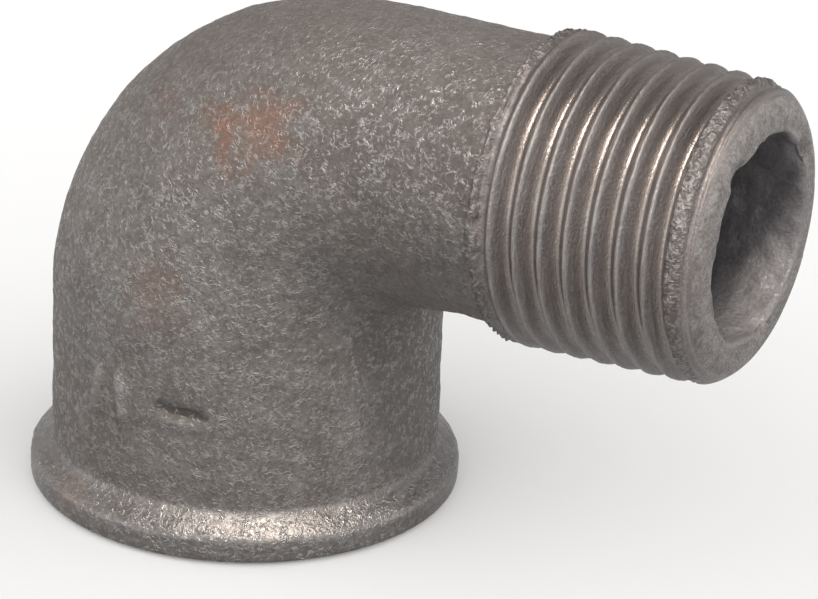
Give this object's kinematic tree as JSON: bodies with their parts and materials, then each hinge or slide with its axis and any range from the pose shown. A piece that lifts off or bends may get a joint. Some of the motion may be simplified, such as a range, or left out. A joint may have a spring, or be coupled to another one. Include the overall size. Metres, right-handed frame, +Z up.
{
  "type": "street elbow",
  "caption": "90 degree street elbow in malleable cast iron: a beaded socket with a female pipe thread, turning into a spigot with a taper male pipe thread.",
  "frame": {"origin": "centre of the female end face, on the socket's axis", "axes": "+Z up the socket's axis into the bend, +X out along the spigot's axis, which is 28 mm above the origin"},
  "size_m": [0.0561, 0.0322, 0.0387],
  "materials": {
    "black_malleable_iron": "as-cast skin, dull grey-brown, with machined threads and end faces"
  },
  "bodies": {
    "root": {"elbow_casting": "black_malleable_iron"}
  },
  "joints": []
}
